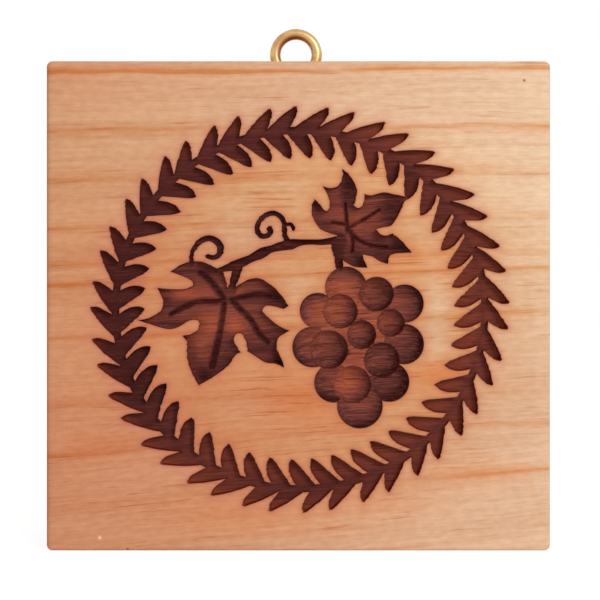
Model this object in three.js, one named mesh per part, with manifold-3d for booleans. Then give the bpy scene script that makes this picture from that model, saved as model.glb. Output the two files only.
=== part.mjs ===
// A carved cookie mould: a cherry board with a bunch of grapes, vine leaves and a wreath cut into its
// face, and a brass screw eye in its top edge. Millimetres, +Z up, with the carved face towards -Y and
// the origin in the middle of the board's bottom edge.

import * as THREE from 'three';
import { mergeVertices } from 'three/addons/utils/BufferGeometryUtils.js';
import Module from 'manifold-3d';

// The board
const boardWidth = 101.6;
const boardHeight = 98.8;
const boardThickness = 19;
const boardCornerRadius = 1.2;
const boardEdgeEase = 0.7;

// The screw eye, one length of wire
const wireDiameter = 2.2;
const loopInsideDiameter = 6.5;
const loopCentreAboveBoard = 3;
const eyeFromBoardMiddle = -0.5;
const loopFirstAngle = -46;
const loopLastAngle = 241;
const neckLength = 2.4;
const threadLength = 10.2;
const threadPitch = 1.4;
const threadCrestDiameter = 2.3;
const threadRootDiameter = 1.6;
const gimletPointLength = 1.6;
const pilotHoleClearance = 0.3;

// The drawing of the carving is in millimetres from the middle of the face, across then up
const drawingScale = 1;

// The wreath: two rows of leaves on one stem, all laid clockwise
const wreathCentre = [0.38, -0.75];
const wreathStretchAcross = 1.015;
const wreathStretchUp = 0.985;
const wreathStemRadius = 36.65;
const wreathStemWidth = 1.5;
const wreathStemDepth = 1.3;
const wreathLeafTipDepth = 1.9;
const wreathLeafRootDepth = 1.3;
const outerLeafPairs = 22;
const outerPairHalfAngle = 3.65;
const firstOuterPairAngle = 11.6;
const outerLeafLean = 0.35;
const innerLeafCount = 46;
const firstInnerLeafAngle = 4;
const innerLeafDrift = 0.7;
const wreathDrift = 1.1;

// One leaf of each row: degrees past its tip, clockwise, and distance from the middle of the stem
const outerLeaf = [
  [0, 4.9], [0.1, 3.8], [-0.5, 2.6], [-2.3, 0.5], [-3.2, -0.2],
  [-11, -0.2], [-9.2, 0.75], [-5.2, 2.75], [-2.3, 4.15], [-0.6, 4.95],
];
const innerLeaf = [
  [0.1, 5.95], [0.65, 5], [0.6, 3.9], [-0.1, 2.6], [-1.9, 0.8], [-3, -0.2],
  [-10, -0.2], [-8.4, 0.7], [-5.9, 2.7], [-2.8, 4.9], [-0.8, 5.85],
];

// The grapes: across, up and radius. The front ones are full rounds sunk into the back ones
const backGrapes = [
  [9.6, 3.7, 4.2], [3.9, -1, 3.6], [21.4, 0.45, 3.85], [21.2, -7.7, 4.1], [2.9, -8.3, 4.1],
  [7.2, -15.5, 4], [18.3, -15.3, 4.05], [12.4, -20.1, 4.6],
];
const frontGrapes = [
  [8.5, -1.1, 3.45], [15.8, 2.4, 3.45], [18.7, -3.45, 2.8], [12.8, -5.8, 2.9],
  [6.1, -8.85, 3.87], [16.9, -11, 3.55], [10.9, -15.9, 3.8],
];
const grapeGaps = [[12.8, -1.6, 4], [11.6, -9.6, 5.4], [7.4, -4.7, 2.9], [16.6, -6.2, 2], [16.3, -2.6, 2.4]];
const backGrapeWall = 0.5;
const backGrapeDepth = 1.7;
const frontGrapeWall = 1.5;
const frontGrapeDepth = 3;
const grapeGapDepth = 0.9;

// Outlines of the two vine leaves. Each row starts at a sharp point and runs smoothly to the next row
const leftVineLeaf = [
  [[-25.7, 6.9], [-22.9, 8.6], [-19.5, 8.9]],
  [[-16.45, 7.55]],
  [[-15, 6.6]],
  [[-14.3, 3.7]],
  [[-12.9, 3.7], [-11.1, 4.75], [-9.6, 5.45], [-7.7, 5.5], [-5.8, 4.4], [-4, 2.85]],
  [[-2, 0]],
  [[-2.9, -0.65], [-4.9, -0.1], [-6.6, 0]],
  [[-7.35, -0.95], [-5.5, -2.85], [-3.7, -4.15]],
  [[-1.95, -5], [-2.5, -5.5], [-4.1, -6.5], [-4.3, -8.6], [-3.3, -10.9]],
  [[-2.9, -12.45], [-4.7, -11.65], [-6.5, -11.45], [-8.6, -10.2]],
  [[-10.25, -9.1], [-10.5, -7.1], [-11.4, -5.65], [-12.7, -5.75], [-12.9, -7.3]],
  [[-11.65, -9.35], [-12.8, -10.1], [-14.1, -12], [-17.1, -14.3]],
  [[-20, -16], [-20.9, -14.6], [-22.2, -11.5], [-22.5, -9]],
  [[-22.35, -7.2]],
  [[-23.3, -6], [-21.5, -5.65], [-20.1, -4.6], [-20.2, -3], [-22, -3], [-24.4, -4.35], [-26.8, -4.6]],
  [[-32.3, -2.9], [-29.8, -2.35], [-27.6, -0.8], [-27.2, 1.1]],
  [[-28.4, 3.6], [-25.5, 3.35], [-22.6, 3.45], [-21.05, 4.4], [-22.3, 5.5]],
];
const upperVineLeaf = [
  [[8.98, 27.6], [10.4, 26.2], [11.75, 23.6], [11.6, 21.6]],
  [[11.1, 20.3], [12.2, 19.7], [13.05, 20.5]],
  [[13.4, 22.5], [14.7, 22.25], [17.1, 22.85], [19.4, 22.45]],
  [[21.2, 22.1], [21, 20.5], [20.1, 18.2], [18.75, 16.2], [17.1, 15.85]],
  [[15.7, 15.4], [16.6, 14.4], [17.8, 14.15]],
  [[18.95, 14.6], [20.6, 13.3], [22, 11.7]],
  [[22.9, 10.7], [21.3, 10.65], [19.4, 10.5], [18.3, 9.9]],
  [[18, 8.45], [16.5, 8.9], [14.9, 9.9]],
  [[13.1, 10.35], [13.1, 9.6]],
  [[13.95, 7.65], [11.6, 7.8], [9.9, 8.55]],
  [[8.55, 9.45]],
  [[7.8, 14.2], [6, 14.75], [4.3, 15.6], [3, 17.6], [2.65, 19.8]],
  [[3.3, 21.5], [4.3, 20.5], [5.3, 19.2], [6.1, 19.4], [6.2, 21.3]],
  [[5, 24.1], [6.5, 23.7], [8.05, 24.25], [8.85, 25.7]],
];
const vineLeafDepth = 1.3;
const vineLeafDraft = 0.2;
const veinDepth = 1.9;

// Carved lines: across, up and width along the middle of each
const leftLeafVeins = [
  [[-15.2, 1.6, 1.4], [-16, 2.7, 1.6], [-17.2, 4.2, 1.6], [-18.6, 5.75, 1.5], [-19.9, 6.6, 1.2]],
  [[-15.5, 1.1, 1.2], [-17, 0.9, 1.3], [-20.5, 0.8, 1.3], [-24.2, -0.8, 1.3], [-26, -1.75, 0.9]],
  [[-15.1, 0.6, 1.3], [-15.5, -2.9, 1.3], [-16.3, -7, 1.5], [-17.1, -10.5, 1.8], [-17.5, -12.2, 1.6]],
  [[-13.6, 1.2, 1.4], [-11.8, -0.75, 1.4], [-9.7, -2.9, 1.4], [-7.9, -5.8, 1.4], [-6.2, -7.4, 1.1]],
  [[-13.6, 1.4, 1.2], [-11.1, 1.87, 1.2], [-8, 2.3, 1.2], [-5.7, 1.9, 0.8]],
];
const upperLeafVeins = [
  [[9.9, 15, 0.9], [9.6, 19, 0.8], [9.4, 22, 0.6]],
  [[10.2, 15.8, 0.9], [13.95, 17.9, 0.8], [16.8, 19.8, 0.6]],
  [[9.9, 16.4, 0.9], [6.8, 16.9, 0.6]],
  [[10.3, 15, 0.9], [12.2, 13.3, 0.9], [14.5, 12.3, 0.8], [18, 11.9, 0.6]],
  [[10.6, 15, 0.9], [11.05, 12.9, 0.8], [10.9, 11, 0.6]],
];
const branch = [
  [-16.6, 7, 0.8], [-15, 7.45, 1.2], [-13.2, 8, 1.9], [-11.4, 8.7, 1.9], [-9.5, 9.55, 1.6],
  [-7.4, 10.6, 2.1], [-5.4, 11.45, 1.5], [-3.4, 12, 1.8], [-1.4, 12.4, 2.1], [0.4, 12.75, 1.3],
  [2.5, 12.85, 1.05], [5, 12.85, 1.2], [8.4, 13.4, 1.6],
];
const leafStalk = [[-11.8, 8.4, 1.7], [-12.4, 6.95, 1.8], [-12.95, 5.1, 1.6], [-13.5, 3.7, 1.35], [-14.2, 2, 1.3]];
const bunchStalk = [[7.3, 13.3, 1.5], [7.3, 11.8, 1.6], [7.8, 10, 1.4], [8.3, 7.4, 1.4]];
const lowerTendril = [
  [-21.55, 8.6, 0.85], [-21.55, 9.8, 0.85], [-21.3, 11, 0.9], [-20.6, 12.1, 1], [-19.6, 13.1, 1.15],
  [-18.1, 13.6, 1.2], [-16.9, 13.3, 1.3], [-15.95, 12.4, 1.4], [-15.65, 11.4, 1.4], [-15.9, 10.4, 1.2],
  [-16.7, 9.8, 1], [-17.6, 9.75, 0.95], [-18.4, 10.05, 0.9],
];
const upperTendril = [
  [-2.2, 12.9, 1.3], [-2.7, 14.2, 1.1], [-2.8, 15.3, 1.05], [-2.75, 16.4, 1.05], [-3.1, 17.3, 1.05],
  [-3.9, 18.2, 1.05], [-4.9, 18.65, 1.05], [-6, 18.5, 1.05], [-7.2, 17.8, 1.05], [-8, 16.7, 1.05],
  [-8.3, 15.6, 1.05], [-8, 14.6, 1.05], [-7.2, 14, 1.05], [-6.2, 14.2, 1.05], [-5.6, 14.9, 1.15],
  [-5.9, 15.8, 1.15],
];
const smallTendril = [[-2.5, 16.25, 0.7], [-1.8, 16.45, 0.75], [-1.3, 16.2, 0.75], [-0.95, 15.25, 0.6]];
const branchDepth = 1.5;
const tendrilDepth = 1;
const gougeFloorShare = 0.5;

// How finely curved shapes are faceted
const outlineStep = 1.2;
const branchStep = 1.6;
const tendrilStep = 0.8;
const veinStep = 2.2;
const grapeSides = 18;
const grapeDomeRings = 3;
const stemSides = 60;
const wireSides = 12;
const loopSteps = 42;
const ringsPerPitch = 6;
const gimletPointRings = 3;
const boreSides = 24;
const edgeSegments = 2;

// Cutting solids start this far out in the open, in front of what they cut
const cutterOverrun = 0.6;
// A vein's cutter starts this far above the leaf's floor
const veinOverrun = 0.2;

const frontFace = -boardThickness / 2;
const faceMiddle = boardHeight / 2;

const wasm = await Module();
wasm.setup();

// Six times the volume that a closed indexed surface holds, below zero where its faces point inwards
function sixfoldVolume(positions, triangles) {
  const [a, b, c] = [new THREE.Vector3(), new THREE.Vector3(), new THREE.Vector3()];
  let total = 0;
  for (let i = 0; i < triangles.length; i += 3) {
    a.fromArray(positions, 3 * triangles[i]);
    b.fromArray(positions, 3 * triangles[i + 1]);
    c.fromArray(positions, 3 * triangles[i + 2]);
    total += a.dot(b.cross(c));
  }
  return total;
}

// A solid for cutting and joining, from closed geometry that points either way
function toSolid(geometry) {
  const bare = geometry.clone();
  bare.deleteAttribute('normal');
  bare.deleteAttribute('uv');
  const merged = mergeVertices(bare);
  const positions = merged.attributes.position.array;
  const corners = merged.index.array;
  let triangles = [];
  for (let i = 0; i < corners.length; i += 3) {
    const [a, b, c] = corners.slice(i, i + 3);
    if (a !== b && b !== c && c !== a) triangles.push(a, b, c);
  }
  if (sixfoldVolume(positions, triangles) < 0) triangles = triangles.reverse();
  return new wasm.Manifold(new wasm.Mesh({
    numProp: 3,
    vertProperties: positions,
    triVerts: new Uint32Array(triangles),
  }));
}

function toGeometry(solid) {
  const mesh = solid.getMesh();
  const geometry = new THREE.BufferGeometry();
  geometry.setAttribute('position', new THREE.BufferAttribute(mesh.vertProperties, 3));
  geometry.setIndex(new THREE.BufferAttribute(mesh.triVerts, 1));
  return geometry;
}

// Closed geometry through a stack of rings with equally many points. Each end closes in a fan, to the
// point given for it or else to the middle of its ring
function stackRings(rings, firstMiddle, lastMiddle) {
  const sides = rings[0].length;
  const middleOf = (ring) => {
    const sum = ring.reduce((total, point) => total.add(point), new THREE.Vector3());
    return sum.divideScalar(sides);
  };
  const points = [...rings.flat(), firstMiddle ?? middleOf(rings[0]), lastMiddle ?? middleOf(rings.at(-1))];
  const firstHub = points.length - 2;
  const lastHub = points.length - 1;
  const lastRing = (rings.length - 1) * sides;
  const triangles = [];
  for (let i = 0; i < sides; i += 1) {
    const j = (i + 1) % sides;
    triangles.push(firstHub, j, i, lastHub, lastRing + i, lastRing + j);
    for (let low = 0; low < lastRing; low += sides) {
      const high = low + sides;
      triangles.push(low + i, low + j, high + j, low + i, high + j, high + i);
    }
  }
  const geometry = new THREE.BufferGeometry().setFromPoints(points);
  geometry.setIndex(triangles);
  return geometry;
}

// A place of the drawing as a point of the part, so deep below the face
function onFace(across, up, depth) {
  return new THREE.Vector3(across * drawingScale, frontFace + depth, faceMiddle + up * drawingScale);
}

// A place in the wreath, by its angle clockwise from the top and its distance from the middle
function inWreath(angle, radius) {
  const turn = THREE.MathUtils.degToRad(angle);
  return [
    wreathCentre[0] + wreathStretchAcross * radius * Math.sin(turn),
    wreathCentre[1] + wreathStretchUp * radius * Math.cos(turn),
  ];
}

// A wreath leaf is a steep-sided cut, deeper towards the tip, with its floor drawn in by the draft
const wreathLeafDraft = 0.12;

function wreathLeafCutter(outline, tipAngle, outward, tipRadius) {
  const places = outline.map(([past, height]) => {
    const [across, up] = inWreath(tipAngle + past, tipRadius + outward * height);
    const share = Math.max(0, height) / Math.abs(outline[0][1]);
    const depth = THREE.MathUtils.lerp(wreathLeafRootDepth, wreathLeafTipDepth, share);
    return { across, up, depth };
  });
  const mean = (key) => places.reduce((sum, place) => sum + place[key], 0) / places.length;
  const [middleAcross, middleUp, middleDepth] = [mean('across'), mean('up'), mean('depth')];
  const spread = (scale, depthOf) => places.map((place) => onFace(
    middleAcross + scale * (place.across - middleAcross),
    middleUp + scale * (place.up - middleUp),
    depthOf(place),
  ));
  const openScale = 1 + (wreathLeafDraft * cutterOverrun) / middleDepth;
  return toSolid(stackRings(
    [spread(openScale, () => -cutterOverrun), spread(1 - wreathLeafDraft, (place) => place.depth)],
    onFace(middleAcross, middleUp, -cutterOverrun),
    onFace(middleAcross, middleUp, middleDepth),
  ));
}

// The wreath was laid out by hand, so its leaves drift a little along the stem
function wreathCutters() {
  const sine = (angle) => Math.sin(THREE.MathUtils.degToRad(angle));
  const cutters = [];
  for (let pair = 0; pair < outerLeafPairs; pair += 1) {
    const angle = firstOuterPairAngle + (360 * pair) / outerLeafPairs;
    for (const side of [-1, 1]) {
      const tip = angle + side * outerPairHalfAngle - wreathDrift * sine(angle);
      cutters.push(wreathLeafCutter(outerLeaf, tip, 1, wreathStemRadius + outerLeafLean * sine(2 * tip)));
    }
  }
  for (let leaf = 0; leaf < innerLeafCount; leaf += 1) {
    const angle = firstInnerLeafAngle + (360 * leaf) / innerLeafCount;
    const tip = angle - wreathDrift * sine(angle) - innerLeafDrift * sine(4 * angle);
    cutters.push(wreathLeafCutter(innerLeaf, tip, -1, wreathStemRadius));
  }
  return cutters;
}

// The stem between the two rows is a plain ring groove
function stemCutter() {
  const [inner, outer] = [wreathStemRadius - wreathStemWidth / 2, wreathStemRadius + wreathStemWidth / 2];
  const profile = [
    new THREE.Vector2(inner, -cutterOverrun),
    new THREE.Vector2(outer, -cutterOverrun),
    new THREE.Vector2(outer, wreathStemDepth),
    new THREE.Vector2(inner, wreathStemDepth),
    new THREE.Vector2(inner, -cutterOverrun),
  ];
  const ring = new THREE.LatheGeometry(profile, stemSides);
  ring.scale(wreathStretchAcross * drawingScale, 1, wreathStretchUp * drawingScale);
  const middle = onFace(wreathCentre[0], wreathCentre[1], 0);
  ring.translate(middle.x, middle.y, middle.z);
  return toSolid(ring);
}

// A round hollow: a straight wall, then a bowl down to its full depth
function roundCutter([across, up, radius], wall, depth) {
  const size = radius * drawingScale;
  const profile = [new THREE.Vector2(0, -cutterOverrun), new THREE.Vector2(size, -cutterOverrun)];
  for (let ring = 0; ring < grapeDomeRings; ring += 1) {
    const turn = (ring / grapeDomeRings) * (Math.PI / 2);
    profile.push(new THREE.Vector2(size * Math.cos(turn), wall + (depth - wall) * Math.sin(turn)));
  }
  profile.push(new THREE.Vector2(0, depth));
  const middle = onFace(across, up, 0);
  const bowl = new THREE.LatheGeometry(profile, grapeSides);
  bowl.translate(middle.x, middle.y, middle.z);
  return toSolid(bowl);
}

// The points of an outline whose rows each start at a sharp point
function outlinePoints(rows) {
  return rows.flatMap((row, i) => {
    const next = rows[(i + 1) % rows.length][0];
    const through = [...row, next].map(([across, up]) => new THREE.Vector2(across, up));
    const run = new THREE.SplineCurve(through);
    const steps = Math.max(1, Math.round(run.getLength() / outlineStep));
    return run.getPoints(steps).slice(0, -1);
  });
}

// A vine leaf is cut to a level floor, with walls that lean in by the draft
function vineLeafCutter(rows) {
  const outline = outlinePoints(rows).map((point) => point.multiplyScalar(drawingScale));
  const leaf = new THREE.ExtrudeGeometry(new THREE.Shape(outline), {
    depth: cutterOverrun,
    bevelThickness: vineLeafDepth,
    bevelSize: vineLeafDraft,
    bevelOffset: -vineLeafDraft,
    bevelSegments: 1,
  });
  leaf.rotateX(Math.PI / 2);
  const middle = onFace(0, 0, 0);
  leaf.translate(middle.x, middle.y, middle.z);
  return toSolid(leaf);
}

// A gouged line, from the depth where it has its drawn width down to its narrower floor
function gougeCutter(line, openDepth, floorDepth, overrun, step) {
  const path = new THREE.SplineCurve(line.map(([across, up]) => new THREE.Vector2(across, up)));
  const widths = new THREE.SplineCurve(line.map(([, , width], i) => new THREE.Vector2(i, width)));
  const steps = Math.max(line.length - 1, Math.round(path.getLength() / step));
  const rings = [];
  for (let i = 0; i <= steps; i += 1) {
    const centre = path.getPoint(i / steps);
    const along = path.getTangent(i / steps);
    const half = widths.getPoint(i / steps).y / 2;
    const floorHalf = half * gougeFloorShare;
    const openHalf = half + (overrun * (half - floorHalf)) / (floorDepth - openDepth);
    const corner = (offset, depth) => onFace(centre.x - along.y * offset, centre.y + along.x * offset, depth);
    rings.push([
      corner(-openHalf, openDepth - overrun),
      corner(openHalf, openDepth - overrun),
      corner(floorHalf, floorDepth),
      corner(-floorHalf, floorDepth),
    ]);
  }
  return toSolid(stackRings(rings));
}

// Where the wire stands in its loop's own plane, across then up from the loop's middle
const wireRadius = wireDiameter / 2;
const loopRadius = (loopInsideDiameter + wireDiameter) / 2;
const loopMiddleHeight = boardHeight + loopCentreAboveBoard;
const neckTop = -(loopRadius + wireRadius);

function onLoop(angle) {
  const turn = THREE.MathUtils.degToRad(angle);
  return new THREE.Vector2(loopRadius * Math.cos(turn), loopRadius * Math.sin(turn));
}

// The pilot hole, with its mouth dished to take the foot of the loop
function eyeHoleCutter() {
  const dishRadius = loopRadius + wireRadius + pilotHoleClearance;
  const boreRadius = threadCrestDiameter / 2 + pilotHoleClearance;
  const boreFloor = neckTop - neckLength - threadLength - gimletPointLength - pilotHoleClearance;
  const rim = Math.asin(-loopCentreAboveBoard / dishRadius);
  const foot = -Math.acos(boreRadius / dishRadius);
  const open = cutterOverrun - loopCentreAboveBoard;
  const profile = [new THREE.Vector2(0, boreFloor), new THREE.Vector2(boreRadius, boreFloor)];
  for (let i = 0; i <= grapeDomeRings; i += 1) {
    const turn = THREE.MathUtils.lerp(foot, rim, i / grapeDomeRings);
    profile.push(new THREE.Vector2(dishRadius * Math.cos(turn), dishRadius * Math.sin(turn)));
  }
  profile.push(new THREE.Vector2(dishRadius * Math.cos(rim), open), new THREE.Vector2(0, open));
  const hole = new THREE.LatheGeometry(profile, boreSides);
  hole.rotateX(Math.PI / 2);
  hole.translate(eyeFromBoardMiddle, 0, loopMiddleHeight);
  return toSolid(hole);
}

// The board as sawn and planed, with rounded corners and every edge eased
function plainBoard() {
  const [right, top] = [boardWidth / 2 - boardCornerRadius, boardHeight / 2 - boardCornerRadius];
  const outline = new THREE.Shape();
  outline.absarc(right, top, boardCornerRadius, 0, Math.PI / 2);
  outline.absarc(-right, top, boardCornerRadius, Math.PI / 2, Math.PI);
  outline.absarc(-right, -top, boardCornerRadius, Math.PI, 1.5 * Math.PI);
  outline.absarc(right, -top, boardCornerRadius, 1.5 * Math.PI, 2 * Math.PI);
  const board = new THREE.ExtrudeGeometry(outline, {
    depth: boardThickness - 2 * boardEdgeEase,
    curveSegments: edgeSegments,
    bevelThickness: boardEdgeEase,
    bevelSize: boardEdgeEase,
    bevelOffset: -boardEdgeEase,
    bevelSegments: edgeSegments,
  });
  board.translate(0, 0, boardEdgeEase - boardThickness / 2);
  board.rotateX(Math.PI / 2);
  board.translate(0, 0, faceMiddle);
  return toSolid(board);
}

function mouldBlock() {
  const stalk = (points) => gougeCutter(points, 0, branchDepth, cutterOverrun, branchStep);
  const tendril = (points) => gougeCutter(points, 0, tendrilDepth, cutterOverrun, tendrilStep);
  const vein = (points) => gougeCutter(points, vineLeafDepth, veinDepth, veinOverrun, veinStep);
  const cutters = [
    ...wreathCutters(),
    stemCutter(),
    ...backGrapes.map((grape) => roundCutter(grape, backGrapeWall, backGrapeDepth)),
    ...frontGrapes.map((grape) => roundCutter(grape, frontGrapeWall, frontGrapeDepth)),
    ...grapeGaps.map((gap) => roundCutter(gap, grapeGapDepth, grapeGapDepth)),
    vineLeafCutter(leftVineLeaf),
    vineLeafCutter(upperVineLeaf),
    ...leftLeafVeins.map(vein),
    ...upperLeafVeins.map(vein),
    ...[branch, leafStalk, bunchStalk].map(stalk),
    ...[lowerTendril, upperTendril, smallTendril].map(tendril),
    eyeHoleCutter(),
  ];
  const hollow = cutters.reduce((whole, cutter) => whole.add(cutter));
  return toGeometry(plainBoard().subtract(hollow));
}

// The thread's height at a point of the shank, as a share of the way from its root to its crest
function threadRise(height, turn) {
  const along = height / threadPitch - turn / (2 * Math.PI);
  return 1 - Math.abs(2 * (along - Math.floor(along)) - 1);
}

// One wire: a gimlet point, a rolled thread, a plain neck, and the loop bent to one side and round
function screwEye() {
  const rings = [];
  const turns = Array.from({ length: wireSides }, (_, i) => (2 * Math.PI * i) / wireSides);
  const level = (height, radiusAt) => turns.map((turn) => {
    const radius = radiusAt(turn);
    return new THREE.Vector3(
      eyeFromBoardMiddle + radius * Math.cos(turn),
      radius * Math.sin(turn),
      loopMiddleHeight + height,
    );
  });
  const threadTop = neckTop - neckLength;
  const threadFoot = threadTop - threadLength;
  const [crest, root] = [threadCrestDiameter / 2, threadRootDiameter / 2];
  const threaded = (height, turn) => root + (crest - root) * threadRise(height, turn);
  const tip = threadFoot - gimletPointLength;
  for (let i = 1; i <= gimletPointRings; i += 1) {
    const share = i / (gimletPointRings + 1);
    const height = tip + share * gimletPointLength;
    rings.push(level(height, (turn) => share * threaded(height, turn)));
  }
  const threadRings = Math.round((threadLength / threadPitch) * ringsPerPitch);
  for (let i = 0; i <= threadRings; i += 1) {
    const height = threadFoot + (threadLength * i) / threadRings;
    rings.push(level(height, (turn) => threaded(height, turn)));
  }
  const threadRunOut = threadPitch / 2;
  rings.push(level(threadTop + threadRunOut, () => wireRadius));
  const joint = onLoop(loopFirstAngle);
  const bend = [
    new THREE.Vector2(0, neckTop - wireRadius / 2),
    new THREE.Vector2(joint.x * 0.1, neckTop + wireRadius * 0.25),
    new THREE.Vector2(joint.x * 0.37, neckTop + wireRadius * 0.95),
  ];
  const round = [];
  const loopPieces = 24;
  for (let i = 0; i <= loopPieces; i += 1) {
    round.push(onLoop(THREE.MathUtils.lerp(loopFirstAngle, loopLastAngle, i / loopPieces)));
  }
  const path = new THREE.SplineCurve([...bend, ...round]);
  for (let i = 0; i <= loopSteps; i += 1) {
    const centre = path.getPointAt(i / loopSteps);
    const along = path.getTangentAt(i / loopSteps);
    rings.push(turns.map((turn) => {
      const aside = wireRadius * Math.cos(turn);
      return new THREE.Vector3(
        eyeFromBoardMiddle + centre.x + along.y * aside,
        wireRadius * Math.sin(turn),
        loopMiddleHeight + centre.y - along.x * aside,
      );
    }));
  }
  const point = new THREE.Vector3(eyeFromBoardMiddle, 0, loopMiddleHeight + tip);
  return toGeometry(toSolid(stackRings(rings, point)));
}

const cherry = new THREE.MeshStandardMaterial({ color: 0xd09a72, roughness: 0.6, metalness: 0, flatShading: true });
const brass = new THREE.MeshStandardMaterial({ color: 0xd2ad77, roughness: 0.3, metalness: 1, flatShading: true });

function named(name, geometry, material) {
  const mesh = new THREE.Mesh(geometry, material);
  mesh.name = name;
  return mesh;
}

const cookieMould = new THREE.Group();
cookieMould.name = 'cookie_mould';
cookieMould.add(named('mould_block', mouldBlock(), cherry));
cookieMould.add(named('screw_eye', screwEye(), brass));

export default cookieMould;
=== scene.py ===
import math

import bmesh
import bpy
import numpy as np
from mathutils import Matrix, Vector, kdtree
from mathutils.noise import noise as noise_at


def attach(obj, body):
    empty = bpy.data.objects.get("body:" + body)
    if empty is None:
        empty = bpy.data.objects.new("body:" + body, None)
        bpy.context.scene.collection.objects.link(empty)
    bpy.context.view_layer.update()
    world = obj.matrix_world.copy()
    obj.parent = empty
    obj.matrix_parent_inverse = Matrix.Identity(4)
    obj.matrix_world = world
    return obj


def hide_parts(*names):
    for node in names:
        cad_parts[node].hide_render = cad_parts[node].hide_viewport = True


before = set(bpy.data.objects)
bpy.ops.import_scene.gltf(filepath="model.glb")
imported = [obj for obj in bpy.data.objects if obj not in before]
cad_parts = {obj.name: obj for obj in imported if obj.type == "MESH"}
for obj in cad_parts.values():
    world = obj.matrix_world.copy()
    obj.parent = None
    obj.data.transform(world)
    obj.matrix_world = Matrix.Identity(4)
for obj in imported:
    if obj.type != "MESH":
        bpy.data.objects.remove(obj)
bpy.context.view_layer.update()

mm = 0.001

# The stage: the mould stands on its bottom edge on a plain white floor that runs out of sight, seen
# square on from in front, under a white sky and one soft lamp on the right. The floor and the sky
# look white to the camera and in the metal, and the floor still takes the mould's shadow.
camera_place = (0.34 * mm, -254.5 * mm, 50.57 * mm)
camera_lens = 72.98
floor_size = 4.0
sky_strength = 0.62
lamp_place = (0.55, -0.85, 0.5)
lamp_target = (0, 0, 50 * mm)
lamp_size = 0.5
lamp_power = 5.6
floor_tone = 0.86
floor_whiteness = 0.7
floor_glow = 1.22


def put(tree, kind, inputs=None, **settings):
    """A new node with its settings, whose inputs are given numbers, colours or other nodes' sockets."""
    node = tree.nodes.new("ShaderNode" + kind)
    for name, value in settings.items():
        setattr(node, name, value)
    for name, value in (inputs or {}).items():
        if isinstance(value, bpy.types.NodeSocket):
            tree.links.new(value, node.inputs[name])
        else:
            node.inputs[name].default_value = value
    return node


def calc(tree, operation, *values):
    """The result of one Math node."""
    inputs = dict(enumerate(values))
    return put(tree, "Math", inputs, operation=operation).outputs[0]


def times(tree, first, second):
    return calc(tree, "MULTIPLY", first, second)


def scaled(tree, value, factor, offset):
    """A value times a factor, and an offset added."""
    return calc(tree, "MULTIPLY_ADD", value, factor, offset)


def plain_tree(owner):
    owner.use_nodes = True
    owner.node_tree.nodes.clear()
    return owner.node_tree


def show_surface(tree, shader):
    put(tree, "OutputMaterial", {"Surface": shader.outputs[0]})


def show_object(name, mesh):
    shown = bpy.data.objects.new(name, mesh)
    bpy.context.scene.collection.objects.link(shown)
    return shown


def seen_directly(tree):
    """One for rays from the camera and in gloss or glass, and nothing for the light on the object."""
    path = put(tree, "LightPath").outputs
    gloss = calc(tree, "MAXIMUM", path["Is Glossy Ray"], path["Is Transmission Ray"])
    return calc(tree, "MAXIMUM", path["Is Camera Ray"], gloss)


scene = bpy.context.scene
scene.view_settings.view_transform = "Standard"

camera_data = bpy.data.cameras.new("camera")
camera_data.lens = camera_lens
camera_data.clip_start = 0.01
camera = show_object("camera", camera_data)
camera.location = camera_place
camera.rotation_euler = (math.pi / 2, 0, 0)
scene.camera = camera

sky = bpy.data.worlds.new("sky")
scene.world = sky
sky_tree = plain_tree(sky)
sky_look = scaled(sky_tree, seen_directly(sky_tree), 1 - sky_strength, sky_strength)
sky_light = put(sky_tree, "Background", {"Color": (1, 1, 1, 1), "Strength": sky_look})
put(sky_tree, "OutputWorld", {"Surface": sky_light.outputs[0]})

lamp_data = bpy.data.lights.new("lamp", "AREA")
lamp_data.shape = "DISK"
lamp_data.size = lamp_size
lamp_data.energy = lamp_power
lamp = show_object("lamp", lamp_data)
lamp.location = lamp_place
lamp_aim = Vector(lamp_target) - Vector(lamp_place)
lamp.rotation_euler = lamp_aim.to_track_quat("-Z", "Y").to_euler()

floor_shape = bmesh.new()
bmesh.ops.create_grid(floor_shape, x_segments=1, y_segments=1, size=floor_size / 2)
floor_mesh = bpy.data.meshes.new("floor")
floor_shape.to_mesh(floor_mesh)
floor_shape.free()
floor = show_object("floor", floor_mesh)
floor_paint = bpy.data.materials.new("floor_paint")
floor_tree = plain_tree(floor_paint)
matt = put(floor_tree, "BsdfDiffuse", {"Color": (floor_tone, floor_tone, floor_tone, 1)})
glow = put(floor_tree, "Emission", {"Color": (1, 1, 1, 1), "Strength": floor_glow})
glow_share = times(floor_tree, seen_directly(floor_tree), floor_whiteness)
floor_mix = put(floor_tree, "MixShader", {0: glow_share, 1: matt.outputs[0], 2: glow.outputs[0]})
show_surface(floor_tree, floor_mix)
floor_mesh.materials.append(floor_paint)

# The board: one piece of cherry, sawn with its grain across, planed, with rounded corners and every
# edge eased with sandpaper. Its middle is cut into small squares, so that the brown haze that the
# cutter leaves round the carving can follow it. A dished pilot hole in the top edge takes the eye.
board_width = 101.6 * mm
board_height = 98.8 * mm
board_thickness = 19 * mm
board_corner_radius = 1.2 * mm
board_edge_ease = 0.7 * mm
front_face = -board_thickness / 2
face_middle = board_height / 2
carved_field = 93 * mm
haze_pitch = 0.65 * mm
drill_overrun = 1 * mm
dish_rings = 8
touching = 0.001 * mm

bare_cherry = bpy.data.materials.new("bare_cherry")
scorched_cherry = bpy.data.materials.new("scorched_cherry")
bare, burnt = 0, 1

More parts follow.
